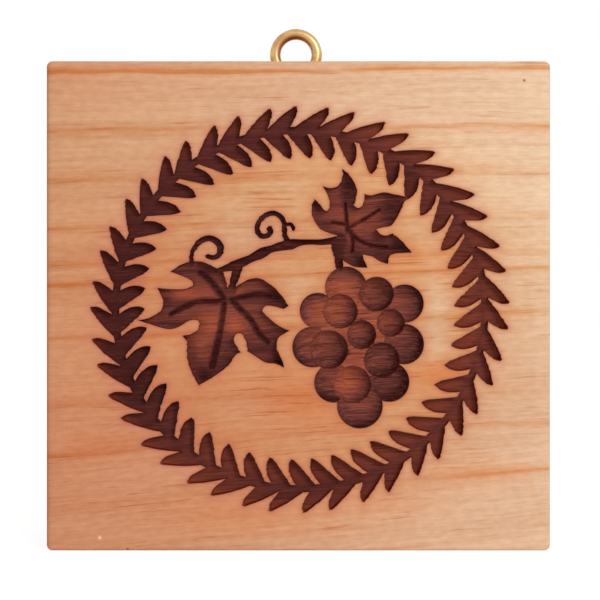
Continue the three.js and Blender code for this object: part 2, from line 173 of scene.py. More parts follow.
eye_across = -0.5 * mm
loop_height = board_height + 3 * mm
wire_radius = 1.1 * mm
loop_radius = 4.33 * mm
eye_clearance = 0.3 * mm
thread_crest = 1.15 * mm
thread_length = 10.2 * mm
neck_length = 2.4 * mm
gimlet_length = 1.6 * mm
neck_top = -(loop_radius + wire_radius)
thread_top = neck_top - neck_length
thread_foot = thread_top - thread_length
gimlet_tip = thread_foot - gimlet_length


def front_to_back(edge):
    """How far an edge of the board runs from its face to its back."""
    return abs(edge.verts[0].co.y - edge.verts[1].co.y)


def faces_in_front():
    return [face for face in board.faces if abs(face.calc_center_median().y - front_face) < touching]


def bevelled(shape, edges, size, segments):
    bmesh.ops.bevel(
        shape, geom=edges, offset=size, offset_type="OFFSET", segments=segments, profile=0.5,
        affect="EDGES", material=-1,
    )


board = bmesh.new()
bmesh.ops.create_cube(board, size=1)
bmesh.ops.scale(board, vec=(board_width, board_thickness, board_height), verts=board.verts)
bmesh.ops.translate(board, vec=(0, 0, face_middle), verts=board.verts)
through_edges = [edge for edge in board.edges if front_to_back(edge) > mm]
bevelled(board, through_edges, board_corner_radius, segments=6)
rim_edges = [edge for edge in board.edges if front_to_back(edge) < 0.1 * mm]
bevelled(board, rim_edges, board_edge_ease, segments=4)
for direction in (Vector((1, 0, 0)), Vector((0, 0, 1))):
    for side in (-1, 1):
        front_parts = set(faces_in_front())
        for face in faces_in_front():
            front_parts.update(face.edges, face.verts)
        place = Vector((0, 0, face_middle)) + direction * side * carved_field / 2
        bmesh.ops.bisect_plane(board, geom=list(front_parts), plane_co=place, plane_no=direction)
field_middle = Vector((0, front_face, face_middle))
middle_face = min(faces_in_front(), key=lambda face: (face.calc_center_median() - field_middle).length)
bmesh.ops.subdivide_edges(
    board, edges=middle_face.edges, cuts=round(carved_field / haze_pitch) - 1, use_grid_fill=True,
)

dish_radius = loop_radius + wire_radius + eye_clearance
bore_radius = thread_crest + eye_clearance
dish_foot = -math.acos(bore_radius / dish_radius)
dish_rim = math.asin((board_height - loop_height) / dish_radius)
bore_floor = gimlet_tip - eye_clearance
hole_profile = [(0, bore_floor), (bore_radius, bore_floor)]
for turn in np.linspace(dish_foot, dish_rim, dish_rings + 1):
    hole_profile.append((dish_radius * math.cos(turn), dish_radius * math.sin(turn)))
drill_top = board_height - loop_height + drill_overrun
hole_profile += [(hole_profile[-1][0], drill_top), (0, drill_top)]


def turned(profile, middle, axis, segments):
    """A solid turned round an axis from its profile, given as distances from the axis and along it."""
    shape = bmesh.new()
    aside = Vector((1, 0, 0))
    corners = [shape.verts.new(middle + aside * out + axis * along) for out, along in profile]
    edges = [shape.edges.new(pair) for pair in zip(corners, corners[1:])]
    bmesh.ops.spin(
        shape, geom=corners + edges, cent=middle, axis=axis, angle=2 * math.pi, steps=segments,
        use_merge=True,
    )
    bmesh.ops.remove_doubles(shape, verts=shape.verts, dist=touching)
    bmesh.ops.recalc_face_normals(shape, faces=shape.faces)
    return shape


hole = turned(hole_profile, Vector((eye_across, 0, loop_height)), Vector((0, 0, 1)), segments=48)


def as_mesh(shape, name, finish=bare):
    """A mesh in the block's two finishes, all of it in one of them."""
    mesh = bpy.data.meshes.new(name)
    mesh.materials.append(bare_cherry)
    mesh.materials.append(scorched_cherry)
    for face in shape.faces:
        face.material_index = finish
    shape.to_mesh(mesh)
    shape.free()
    return mesh


def combined(first, second, operation):
    """Two closed meshes united, or the first one's part inside or outside the second."""
    kept = show_object("kept", first)
    tool = show_object("tool", second)
    cut = kept.modifiers.new("cut", "BOOLEAN")
    cut.operation = operation
    cut.solver = "MANIFOLD"
    cut.material_mode = "INDEX"
    cut.object = tool
    ready = kept.evaluated_get(bpy.context.evaluated_depsgraph_get())
    result = bpy.data.meshes.new_from_object(ready)
    for spent in (kept, tool):
        bpy.data.objects.remove(spent)
    return result


drilled_board = combined(as_mesh(board, "board"), as_mesh(hole, "hole"), "DIFFERENCE")

# The wreath: two rows of small leaves on one stem, all laid clockwise, cut into the face with steep
# walls. Each leaf's floor falls towards its tip. The rows were laid out by hand, so the leaves drift.
# Angles are in degrees clockwise from the top, and lengths in millimetres on the face.
wreath_centre = (0.38, -0.75)
wreath_stretch = (1.015, 0.985)
stem_radius = 36.65
stem_width = 1.5
leaf_tip_depth = 1.9
leaf_root_depth = 1.3
leaf_wall_draft = 0.12
outer_pairs = 22
outer_first = 11.63
outer_half_angle = 3.65
inner_leaves = 46
inner_first = 3.99
outer_leaf = [
    [(0, 4.9), (0.1, 3.8), (-0.5, 2.6), (-2.3, 0.5)],
    [(-3.2, -0.2)],
    [(-11, -0.2), (-9.2, 0.75), (-5.2, 2.75), (-2.3, 4.15)],
    [(-0.6, 4.95)],
]
inner_leaf = [
    [(0.1, 5.95), (0.65, 5), (0.6, 3.9), (-0.1, 2.6), (-1.9, 0.8)],
    [(-3, -0.2)],
    [(-10, -0.2), (-8.4, 0.7), (-5.9, 2.7), (-2.8, 4.9)],
    [(-0.8, 5.85)],
]
# How a row drifts on its way round, in the angles of its leaves and in their distance from the centre:
# waves of so many turns, each with a sine and a cosine share, and a constant shift outwards
outer_angle_waves = [(1, -1.2, -0.17), (2, 0, 0.27)]
outer_reach_waves = [(1, -0.11, 0), (2, 0.35, 0)]
outer_shift = -0.02
inner_angle_waves = [(1, -0.93, 0.24), (2, 0.2, 0.16), (4, -0.73, -0.4)]
inner_reach_waves = [(1, -0.13, 0.14), (4, 0.25, 0)]
inner_shift = 0.07
overrun = 0.7
column_depth = 2.6
leaf_step = 0.5
tear_reach = 0.24
tears_along, tears_across = 0.6, 2.3


def smooth_line(points, step):
    """Points along the smooth line through the given ones, about a step apart."""
    given = np.array(points, float)
    ends = np.vstack([given[:1], given, given[-1:]])
    length = np.linalg.norm(np.diff(given[:, :2], axis=0), axis=1).sum()
    count = max(len(given) - 1, round(length / step))
    along = np.linspace(0, len(given) - 1, count + 1)
    start = np.minimum(along.astype(int), len(given) - 2)
    t = (along - start)[:, None]
    a, b, c, d = (ends[start + i] for i in range(4))
    return 0.5 * (2 * b + (c - a) * t + (2 * a - 5 * b + 4 * c - d) * t**2 + (3 * b - a - 3 * c + d) * t**3)


def outline_through(rows, step):
    """A closed outline. Each row starts at a sharp point and runs smoothly to the next row's start."""
    runs = []
    for row, following in zip(rows, rows[1:] + rows[:1]):
        runs.append(smooth_line(row + following[:1], step)[:-1])
    return np.vstack(runs)


def drift(angle, waves):
    return sum(
        sine * math.sin(math.radians(turns * angle)) + cosine * math.cos(math.radians(turns * angle))
        for turns, sine, cosine in waves
    )


def in_wreath(angles, radii):
    turns = np.radians(angles)
    across = wreath_centre[0] + wreath_stretch[0] * radii * np.sin(turns)
    up = wreath_centre[1] + wreath_stretch[1] * radii * np.cos(turns)
    return np.column_stack([across, up])


def torn(across, up):
    """A place on a cut edge, shifted a little along the grain, where its fibres have torn."""
    return across + tear_reach * noise_at(Vector((across * tears_along, up * tears_across, 0)))


def only(kind, items):
    return [item for item in items if isinstance(item, kind)]


def cut_columns(tops, floors):
    """Solid columns side by side, each between its outline above the face and the one at its foot."""
    shape = bmesh.new()
    for top, foot in zip(tops, floors):
        corners = [
            shape.verts.new((torn(across, up) * mm, front_face - overrun * mm, face_middle + up * mm))
            for across, up in top
        ]
        lid = shape.faces.new(corners)
        extruded = bmesh.ops.extrude_face_region(shape, geom=[lid])["geom"]
        lowered = set(only(bmesh.types.BMVert, extruded))
        for corner, (across, up) in zip(corners, foot):
            below = next(e.other_vert(corner) for e in corner.link_edges if e.other_vert(corner) in lowered)
            below.co = (torn(across, up) * mm, front_face + column_depth * mm, face_middle + up * mm)
    bmesh.ops.recalc_face_normals(shape, faces=shape.faces)
    return as_mesh(shape, "columns", burnt)


def drafted(outline, depth):
    """A wreath leaf's outline at a depth, where its walls have drawn it in towards its middle."""
    middle = outline.mean(axis=0)
    return middle + (outline - middle) * (1 - leaf_wall_draft * depth / leaf_tip_depth)


def whole_columns(outlines):
    return cut_columns([drafted(o, -overrun) for o in outlines], [drafted(o, column_depth) for o in outlines])


def leaf_row(tips, rows, outwards, angle_waves, reach_waves, shift):
    """The outlines of a row of leaves, whose tips would be at these angles if the row didn't drift."""
    leaf = outline_through(rows, leaf_step)
    outlines = []
    for tip in tips:
        angles = tip + drift(tip, angle_waves) + leaf[:, 0]
        reach = stem_radius + shift + drift(tip, reach_waves)
        outlines.append(in_wreath(angles, reach + outwards * leaf[:, 1]))
    return outlines


outer_tips = [
    outer_first + 360 * pair / outer_pairs + side * outer_half_angle
    for pair in range(outer_pairs) for side in (-1, 1)
]
inner_tips = [inner_first + 360 * leaf / inner_leaves for leaf in range(inner_leaves)]
outer_row = leaf_row(outer_tips, outer_leaf, 1, outer_angle_waves, outer_reach_waves, outer_shift)
inner_row = leaf_row(inner_tips, inner_leaf, -1, inner_angle_waves, inner_reach_waves, inner_shift)
stem_inside, stem_outside = (stem_radius + side * stem_width / 2 for side in (-1, 1))
stem_profile = [
    (stem_inside * mm, -overrun * mm), (stem_outside * mm, -overrun * mm),
    (stem_outside * mm, column_depth * mm), (stem_inside * mm, column_depth * mm),
    (stem_inside * mm, -overrun * mm),
]
stem = turned(stem_profile, Vector((0, 0, 0)), Vector((0, 1, 0)), segments=180)
stem_middle = Vector((wreath_centre[0] * mm, front_face, face_middle + wreath_centre[1] * mm))
bmesh.ops.scale(stem, vec=(wreath_stretch[0], 1, wreath_stretch[1]), verts=stem.verts)
bmesh.ops.translate(stem, vec=stem_middle, verts=stem.verts)
carving = as_mesh(stem, "stem", burnt)
for outlines in (outer_row, inner_row):
    for first in (0, 1):
        carving = combined(carving, whole_columns(outlines[first::2]), "UNION")

# The vine: two leaves, the branch that they hang from, their stalks and three curled tendrils, all cut
# into the face. A leaf's floor is worked by hand into soft hollows between its sunk veins. Places are in
# millimetres across and up from the middle of the face, and on a carved line its width comes third.
left_vine_leaf = [
    [(-25.7, 6.9), (-22.9, 8.6), (-19.5, 8.9)],
    [(-16.45, 7.55)],
    [(-15, 6.6)],
    [(-14.3, 3.7)],
    [(-12.9, 3.7), (-11.1, 4.75), (-9.6, 5.45), (-7.7, 5.5), (-5.8, 4.4), (-4, 2.85)],
    [(-2, 0)],
    [(-2.9, -0.65), (-4.9, -0.1), (-6.6, 0)],
    [(-7.35, -0.95), (-5.5, -2.85), (-3.7, -4.15)],
    [(-1.95, -5), (-2.5, -5.5), (-4.1, -6.5), (-4.3, -8.6), (-3.3, -10.9)],
    [(-2.9, -12.45), (-4.7, -11.65), (-6.5, -11.45), (-8.6, -10.2)],
    [(-10.25, -9.1), (-10.5, -7.1), (-11.4, -5.65), (-12.7, -5.75), (-12.9, -7.3)],
    [(-11.65, -9.35), (-12.8, -10.1), (-14.1, -12), (-17.1, -14.3)],
    [(-20, -16), (-20.9, -14.6), (-22.2, -11.5), (-22.5, -9)],
    [(-22.35, -7.2)],
    [(-23.3, -6), (-21.5, -5.65), (-20.1, -4.6), (-20.2, -3), (-22, -3), (-24.4, -4.35), (-26.8, -4.6)],
    [(-32.3, -2.9), (-29.8, -2.35), (-27.6, -0.8), (-27.2, 1.1)],
    [(-28.4, 3.6), (-25.5, 3.35), (-22.6, 3.45), (-21.05, 4.4), (-22.3, 5.5)],
]
upper_vine_leaf = [
    [(8.98, 27.6), (10.4, 26.2), (11.75, 23.6), (11.6, 21.6)],
    [(11.1, 20.3), (12.2, 19.7), (13.05, 20.5)],
    [(13.4, 22.5), (14.7, 22.25), (17.1, 22.85), (19.4, 22.45)],
    [(22.7, 21.75), (21.5, 21.1), (20.95, 20.1), (20.1, 18.2), (18.75, 16.2), (17.1, 15.85)],
    [(15.7, 15.4), (16.6, 14.4), (17.8, 14.15)],
    [(18.95, 14.6), (20.6, 13.3), (22, 11.7)],
    [(22.9, 10.7), (21.3, 10.65), (19.4, 10.5), (18.3, 9.9)],
    [(18, 8.45), (16.5, 8.9), (14.9, 9.9)],
    [(13.1, 10.35), (13.1, 9.6)],
    [(13.95, 7.65), (11.6, 7.8), (9.9, 8.55)],
    [(8.55, 9.45)],
    [(7.8, 14.2), (6, 14.75), (4.3, 15.6), (3, 17.6), (2.65, 19.8)],
    [(3.3, 21.5), (4.3, 20.5), (5.3, 19.2), (6.1, 19.4), (6.2, 21.3)],
    [(5, 24.1), (6.5, 23.7), (8.05, 24.25), (8.85, 25.7)],
]
vine_leaf_depth = 1.35
vine_step = 0.5
gouge_step = 0.4
vine_wall_inset = 0.12
vine_margin = 0.35
tip_length = 1.4
tip_sharpness = 0.6
left_leaf_veins = [
    [(-15.2, 1.6, 1.4), (-16, 2.7, 1.6), (-17.2, 4.2, 1.6), (-18.6, 5.75, 1.5), (-19.9, 6.6, 1.2)],
    [(-15.5, 1.1, 1), (-17, 0.9, 1.1), (-20.5, 0.8, 1.3), (-24.2, -0.8, 1.3), (-26, -1.75, 0.9)],
    [(-15.1, 0.6, 1.3), (-15.5, -2.9, 1.3), (-16.3, -7, 1.5), (-17.1, -10.5, 1.8), (-17.5, -12.2, 1.6)],
    [(-13.6, 1.2, 1.4), (-11.8, -0.75, 1.4), (-9.7, -2.9, 1.4), (-7.9, -5.8, 1.4), (-6.2, -7.4, 1.1)],
    [(-13.6, 1.4, 1.2), (-11.1, 1.87, 1.2), (-8, 2.3, 1.2), (-5.7, 1.9, 0.8)],
]
upper_leaf_veins = [
    [(9.9, 15, 0.9), (9.65, 18.4, 0.75), (9.5, 20.8, 0.55)],
    [(10.2, 15.8, 0.85), (13.95, 17.9, 0.75), (16.5, 19.5, 0.55)],
    [(9.9, 16.4, 0.9), (6.8, 16.9, 0.6)],
    [(10.3, 15, 0.9), (12.2, 13.3, 0.9), (14.5, 12.3, 0.8), (18, 11.9, 0.6)],
    [(10.6, 15, 0.9), (11.05, 12.9, 0.8), (10.9, 11, 0.6)],
]
vein_depth = 0.6
# Hollows and swells of the leaves' floors: across, up, half width, half height and how much deeper
leaf_hollows = [
    (-18, -3.8, 3.2, 3, -0.4), (-12.8, -4, 2.2, 2.2, -0.42), (-23.6, 2.6, 3, 1.4, -0.42),
    (-20, -9, 1.8, 2.8, -0.2), (-13, 3.1, 1.4, 1, -0.3), (-18.3, 7.2, 2.6, 1.6, 0.3),
    (-22.9, 7, 2, 1.2, 0.15), (-5, 1.7, 2.4, 2.2, 0.45), (-4.3, -11.2, 1.8, 2, 0.5),
    (-7.5, -9.1, 2.2, 1.6, 0.22), (-14.1, -7.6, 1.8, 2.2, 0.2), (-14.8, -11.2, 2, 1.8, 0.35),
    (-19.2, -14, 2, 2, 0.56), (-26.8, -3.4, 3.4, 1.2, 0.15), (-27, 1.5, 1.2, 2, 0.2),
    (8, 19, 1.5, 2.2, -0.1), (14.5, 16.2, 2.6, 1.1, 0.02), (15.2, 21.4, 2, 0.8, -0.08),
    (9.8, 24, 1.6, 2.4, 0.4), (3.7, 19.4, 1.2, 1.8, 0.2), (12, 17.3, 1, 1, -0.2),
    (5.5, 16.3, 1.4, 1.2, 0.15), (18.6, 19.6, 2.2, 2.4, 0.42), (19.7, 11.7, 2.6, 1.4, 0.45),
    (16, 10.6, 1.6, 1.2, 0.2), (12.2, 8.8, 2, 1.4, 0.42), (11.2, 10.9, 2.2, 1.6, 0.25),
    (16, 12.9, 1.8, 1.2, 0.28), (-5.1, -6.3, 1.8, 1.8, 0.2), (-18.4, 2.6, 2, 1.2, -0.2),
    (-13.2, 2.1, 1.3, 1, -0.22), (-24.8, -4.1, 2, 1, 0.15), (-16.4, -13.3, 1.6, 1.4, 0.18),
    (-15.6, -4.3, 1.2, 2, 0.15), (-21.2, -10.3, 1.4, 2, 0.17), (-19.2, -3.9, 1.6, 1.6, 0.13),
    (-20.8, 1.2, 1.4, 1, -0.15), (9.8, 21.3, 1.4, 2.2, 0.22), (18.3, 16.5, 1.6, 1.6, 0.18),
    (17.3, 9, 1.6, 1.2, 0.18), (8.8, 13.5, 1.4, 1.2, -0.2), (11.1, 16.6, 1.5, 1.5, -0.16),
    (15.2, 17.9, 1.6, 1, -0.1), (5.6, 15.1, 1.4, 1, 0.12),
]
branch = [
    (-16.6, 7, 0.8), (-15, 7.45, 1.2), (-13.2, 8, 1.9), (-11.4, 8.7, 1.9), (-9.5, 9.55, 1.6),
    (-7.4, 10.6, 2.1), (-5.4, 11.45, 1.5), (-3.4, 12, 1.8), (-1.4, 12.4, 2.1), (0.4, 12.75, 1.3),
    (2.5, 12.85, 1.05), (5, 12.85, 1.2), (8.4, 13.4, 1.6),
]
leaf_stalk = [(-11.8, 8.4, 1.7), (-12.4, 6.95, 1.8), (-12.95, 5.1, 1.6), (-13.5, 3.7, 1.35), (-14.2, 2, 1.3)]
bunch_stalk = [(7.55, 13.3, 2), (7.75, 11.8, 2.2), (8.05, 10, 1.75), (8.3, 7.4, 1.4)]
lower_tendril = [
    (-21.55, 8.6, 0.85), (-21.55, 9.8, 0.85), (-21.3, 11, 0.9), (-20.6, 12.1, 1), (-19.6, 13.1, 1.15),
    (-18.1, 13.6, 1.2), (-16.9, 13.3, 1.3), (-15.95, 12.4, 1.4), (-15.65, 11.4, 1.4), (-15.9, 10.4, 1.2),
    (-16.7, 9.8, 1), (-17.6, 9.75, 0.95), (-18.4, 10.05, 0.9),
]
upper_tendril = [
    (-2.2, 12.9, 1.3), (-2.7, 14.2, 1.1), (-2.8, 15.3, 1.05), (-2.75, 16.4, 1.05), (-3.1, 17.3, 1.05),
    (-3.9, 18.2, 1.05), (-4.9, 18.65, 1.05), (-6, 18.5, 1.05), (-7.2, 17.8, 1.05), (-8, 16.7, 1.05),
    (-8.3, 15.6, 1.05), (-8, 14.6, 1.05), (-7.2, 14, 1.05), (-6.2, 14.2, 1.05), (-5.6, 14.9, 1.15),
    (-5.9, 15.8, 1.15),
]
small_tendril = [(-2.5, 16.25, 0.7), (-1.8, 16.45, 0.75), (-1.3, 16.2, 0.75), (-0.95, 15.25, 0.6)]
branch_depth = 1.5
tendril_depth = 1
gouge_floor_share = 0.7
gouge_end = 0.3
# How far the hollow of a vein, the branch or a tendril reaches, in half widths from its middle
vein_reach, branch_reach, tendril_reach = 1.25, 2.2, 2.4
# How far inside the stem the wreath's leaves may reach, in lengths of an inner leaf
wreath_reach = 1.25
relief_overrun = 0.6
relief_pitch = 0.3 * mm


def drawn_in(outline, by):
    """An outline moved inwards, less and less towards its sharp points, which stay where they are."""
    ahead = np.roll(outline, -1, axis=0) - outline
    behind = outline - np.roll(outline, 1, axis=0)
    ahead /= np.linalg.norm(ahead, axis=1)[:, None]
    behind /= np.linalg.norm(behind, axis=1)[:, None]
    along = ahead + behind
    along /= np.linalg.norm(along, axis=1)[:, None]
    following = np.roll(outline, -1, axis=0)
    area = np.sum(outline[:, 0] * following[:, 1] - outline[:, 1] * following[:, 0])
    inwards = np.sign(area) * np.column_stack([-along[:, 1], along[:, 0]])
    sharp = outline[np.sum(ahead * behind, axis=1) < tip_sharpness]
    to_sharp = np.linalg.norm(outline[:, None] - sharp[None], axis=2).min(axis=1)
    return outline + inwards * (by * np.minimum(1, to_sharp / tip_length))[:, None]


def gouged(line, step):
    """The outlines of a gouged line above the face and at its foot, where it is narrower."""
    path = smooth_line(line, step)
    along = np.gradient(path[:, :2], axis=0)
    along /= np.linalg.norm(along, axis=1)[:, None]
    aside = np.column_stack([-along[:, 1], along[:, 0]])
    slope = (1 - gouge_floor_share) / branch_depth
    outlines = []
    for depth in (-overrun, column_depth):
        half = aside * path[:, 2:] / 2 * (1 - slope * depth)
        start = path[:1, :2] - along[:1] * path[0, 2] * gouge_end
        end = path[-1:, :2] + along[-1:] * path[-1, 2] * gouge_end
        outlines.append(np.vstack([start, path[:, :2] + half, end, (path[:, :2] - half)[::-1]]))
    return outlines


vine_outlines = [outline_through(rows, vine_step) for rows in (left_vine_leaf, upper_vine_leaf)]
vine_tops = [drawn_in(outline, -vine_wall_inset * overrun) for outline in vine_outlines]
vine_feet = [drawn_in(outline, vine_wall_inset * column_depth) for outline in vine_outlines]
vine_margins = [drawn_in(outline, -vine_margin) for outline in vine_outlines]
carving = combined(carving, cut_columns(vine_tops, vine_feet), "UNION")
for lines in ([branch], [leaf_stalk, bunch_stalk], [lower_tendril, upper_tendril], [small_tendril]):
    tops, feet = zip(*(gouged(line, gouge_step) for line in lines))
    carving = combined(carving, cut_columns(tops, feet), "UNION")


def from_line(across, up, line):
    """How far places are from a carved line, as a share of its half width there."""
    nearest = np.full(across.shape, np.inf)
    path = smooth_line(line, gouge_step)
    for (ax, az, aw), (bx, bz, bw) in zip(path, path[1:]):
        dx, dz = bx - ax, bz - az
        t = np.clip(((across - ax) * dx + (up - az) * dz) / (dx * dx + dz * dz), 0, 1)
        gap = np.hypot(across - ax - t * dx, up - az - t * dz)
        nearest = np.minimum(nearest, gap * 2 / (aw + t * (bw - aw)))
    return nearest


def nearness(across, up, line, reach):
    """One on a carved line, falling to nought at so many half widths from its middle."""
    return np.clip(reach - from_line(across, up, line), 0, 1)


def within(across, up, outline):
    """Whether places are inside an outline, from how often a level line from each one crosses it."""
    crossings = np.zeros(across.shape, int)
    for (ax, az), (bx, bz) in zip(outline, np.roll(outline, -1, axis=0)):
        spans = (az > up) != (bz > up)
        crossings += spans & (across < ax + (up - az) * (bx - ax) / ((bz - az) or 1))
    return crossings % 2 == 1


def from_wreath_centre(across, up):
    aside = (across - wreath_centre[0]) / wreath_stretch[0]
    above = (up - wreath_centre[1]) / wreath_stretch[1]
    return np.hypot(aside, above)


def of_the_wreath(across, up):
    """Whether a carved place belongs to the wreath rather than to a vine leaf that reaches into it."""
    leaf = within(across, up, vine_margins[0]) | within(across, up, vine_margins[1])
    return (from_wreath_centre(across, up) > stem_radius - wreath_reach * inner_leaf[0][0][1]) & ~leaf


def swell(across, up, middle_across, middle_up, half_width, half_height):
    """A soft oval swell: one in its middle, and falling away to nought."""
    aside, above = (across - middle_across) / half_width, (up - middle_up) / half_height
    return np.exp(-(aside**2 + above**2))


def carved_depth(across, up):
    """How deep the wreath, the vine leaves, the branch and the tendrils are cut at places of the face."""
    radius = from_wreath_centre(across, up)
    share = np.clip(np.abs(radius - stem_radius) / outer_leaf[0][0][1], 0, 1)
    wreath = leaf_root_depth + (leaf_tip_depth - leaf_root_depth) * share
    leaves = np.full(across.shape, vine_leaf_depth)
    for *hollow, more in leaf_hollows:
        leaves += more * swell(across, up, *hollow)
    groove = np.zeros(across.shape)
    for vein in left_leaf_veins + upper_leaf_veins:
        groove = np.maximum(groove, nearness(across, up, vein, vein_reach))
    leaves += vein_depth * groove * groove * (3 - 2 * groove)
    for line in (branch, leaf_stalk, bunch_stalk):
        leaves += nearness(across, up, line, branch_reach) * np.maximum(branch_depth - leaves, 0)
    for line in (lower_tendril, upper_tendril, small_tendril):
        leaves += nearness(across, up, line, tendril_reach) * (tendril_depth - leaves)
    return np.where(of_the_wreath(across, up), wreath, leaves)


relief = bmesh.new()
relief_squares = round(carved_field / relief_pitch)
facing = Matrix.Translation((0, front_face, face_middle)) @ Matrix.Rotation(math.pi / 2, 4, "X")
bmesh.ops.create_grid(
    relief, x_segments=relief_squares, y_segments=relief_squares, size=carved_field / 2, matrix=facing,
)
floor_verts = list(relief.verts)
border = [edge for edge in relief.edges if edge.is_boundary]
raised = bmesh.ops.extrude_edge_only(relief, edges=border)["geom"]
bmesh.ops.translate(relief, vec=(0, -relief_overrun * mm, 0), verts=only(bmesh.types.BMVert, raised))
bmesh.ops.edgeloop_fill(relief, edges=only(bmesh.types.BMEdge, raised))
places = np.array([vert.co for vert in floor_verts])
depths = carved_depth(places[:, 0] / mm, (places[:, 2] - face_middle) / mm)
for vert, depth in zip(floor_verts, depths):
    vert.co.y = front_face + depth * mm
bmesh.ops.recalc_face_normals(relief, faces=relief.faces)
carving = combined(carving, as_mesh(relief, "relief", burnt), "INTERSECT")

# The grapes: round hollows, the front row as full rounds sunk into the shallower back ones, with
# shallow flat floors left between them, all cut into the face and scorched by the cutter.
# Across, up and radius in millimetres on the face, and how dark its middle is, from nought to one
back_grapes = [
    (9.6, 3.7, 4.2, 0.02), (3.9, -1, 3.6, 0.06), (21.4, 0.45, 3.85, 0.38), (21.2, -7.7, 4.1, 0.48),
    (2.9, -8.3, 4.1, 0.25), (7.2, -15.5, 4, 0.42), (18.3, -15.3, 4.05, 0.62), (12.4, -20.1, 4.6, 0.36),
]
front_grapes = [
    (8.5, -1.1, 3.45, 0.13), (15.8, 2.4, 3.45, 0.3), (18.7, -3.45, 2.8, 0.3), (12.8, -5.8, 2.9, 0.36),
    (6.1, -8.85, 3.87, 0.33), (16.9, -11, 3.55, 0.53), (10.9, -15.9, 3.8, 0.05),
]
grape_gaps = [
    (12.8, -1.6, 4, 0.14), (11.6, -9.6, 5.4, 0.14), (7.4, -4.7, 2.9, 0.14), (16.6, -6.2, 2, 0.14),
    (16.3, -2.6, 2.4, 0.14),
]
back_grape_wall, back_grape_depth = 0.5, 1.7
front_grape_wall, front_grape_depth = 1.5, 3
grape_gap_depth = 0.9
gap_wall_share = 0.98
bowl_rings = 9
bowl_sides = 56


def bowl(grape, wall, depth):
    """A round hollow: a straight wall, then a bowl down to its full depth."""
    across, up, radius = (value * mm for value in grape[:3])
    profile = [(0, -overrun * mm), (radius, -overrun * mm)]
    for turn in np.linspace(0, math.pi / 2, bowl_rings + 1):
        profile.append((radius * math.cos(turn), (wall + (depth - wall) * math.sin(turn)) * mm))
    middle = Vector((across, front_face, face_middle + up))
    return as_mesh(turned(profile, middle, Vector((0, 1, 0)), bowl_sides), "bowl", burnt)


for grapes, wall, depth in (
    (grape_gaps, grape_gap_depth * gap_wall_share, grape_gap_depth),
    (back_grapes, back_grape_wall, back_grape_depth),
    (front_grapes, front_grape_wall, front_grape_depth),
):
    for grape in grapes:
        carving = combined(carving, bowl(grape, wall, depth), "UNION")

# The finished block: the board with all of the carving cut out of it, in two finishes. Bare sanded
# cherry has straight growth lines and a brown haze round each cut, and is redder and darker towards the
# left, partly its own tone and partly painted light falling off away from the lamp. Where the cutter has
# been it is scorched, darkest where it is deep, in fine level streaks. Its steep walls are darker too,
# most on the side facing left and up, and each grape is darker at its rim and on one side: painted shade.
haze_reach = 0.9 * mm
smoke_reach = 6 * mm
smoke_outside = 0.3
warmest = 1.6
# Where the bare wood is a warmer or, below nought, a paler brown: across, up, half width, half height
# and how much warmer
warm_places = [
    (0, -19.5, 10, 6, 1.35), (-11, -42.5, 19, 5, 0.9), (16, -39.5, 13, 3, 0.6), (22, 9.5, 8, 4, 1),
    (28, -13.8, 6.5, 3, 1.6), (-40, -27.5, 9, 2.5, 0.45), (-33, -15, 6, 4, 0.4), (36, -33.5, 12, 3, 0.7),
    (31, 28, 9, 3, 0.25), (1, 9.5, 5, 3, 0.3), (-12, 13.5, 10, 4.5, -0.8), (0, 3.5, 3, 2.5, -0.5),
    (27.5, -3, 4.5, 9, -0.6), (-14, -16, 7, 3.5, 0.35), (0, 38, 18, 5, -0.35), (-36, 24, 7, 6, -0.35),
    (27, 15, 4, 4, -0.45), (18, -27, 5, 3.5, -0.4), (-9, 14.5, 5, 3, -0.3), (-18, 9, 5, 3, -0.3),
]
# Where the wreath is burnt more or, below nought, less: across, up, half width and how much more
burnt_places = [
    (-34, 4, 16, 0.1), (-17, -33, 12, -0.14), (18, 31, 9, -0.08), (-31, -14, 6, 0.2), (20, 24.5, 4.5, 0.24),
    (0, 38, 5, 0.13), (28, 16, 4, 0.12),
]
# How dark the wreath, the vine leaves and the vine's lines are burnt, from nought to one, and how much
# paler the wreath is to the right, towards its tips, outside its stem and inside it at the low right
wreath_scorch, leaf_scorch, line_scorch = 0.65, 0.45, 0.86
paler_per_mm = 0.0025
leaf_reach = 5
paler_tips, paler_outside, paler_outer_tips, paler_low_right = 0.2, 0.05, 0.45, 0.15
low_right = (0.8, -0.6)
inner_row_radius = 32
leaf_streakiness = 0.45
line_scorch_reach, stalk_reach = 2, 1.3
# A grape is painted darker at its rim and on one side, and a back one on the side away from the bunch's
# middle: painted shade
bunch_middle = Vector((12.3, -7))
dark_side = Vector((0.75, -0.66))
back_grape_turn = 2
painted_rim_shade, painted_side_shade, painted_far_side_shade = 0.34, 0.26, 0.3
bowl_edge = 1.004


def smoothed(mesh, sharp_from):
    """Smooth shading, with sharp edges where two faces turn by more than so many degrees."""
    for polygon in mesh.polygons:
        polygon.use_smooth = True
    mesh.set_sharp_from_angle(angle=math.radians(sharp_from))


block_mesh = combined(drilled_board, carving, "DIFFERENCE")
block_mesh.name = "carved_block"
smoothed(block_mesh, 32)
block = show_object("carved_block", block_mesh)
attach(block, "root")
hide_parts("mould_block")

vert_count = len(block_mesh.vertices)
spots = np.empty(3 * vert_count)
block_mesh.vertices.foreach_get("co", spots)
spots = spots.reshape(-1, 3)
spot_across = spots[:, 0] / mm
spot_up = (spots[:, 2] - face_middle) / mm
touched = np.zeros((vert_count, 2), bool)
for polygon in block_mesh.polygons:
    touched[list(polygon.vertices), polygon.material_index] = True
rim_spots = spots[touched.all(axis=1)]
rim_tree = kdtree.KDTree(len(rim_spots))
for index, spot in enumerate(rim_spots):
    rim_tree.insert(spot, index)
rim_tree.balance()
haze = np.zeros(vert_count)
smoke = np.zeros(vert_count)
for index in np.nonzero(touched[:, bare])[0]:
    gap = rim_tree.find(spots[index])[2]
    haze[index] = math.exp(-gap / haze_reach)
    smoke[index] = math.exp(-gap / smoke_reach)

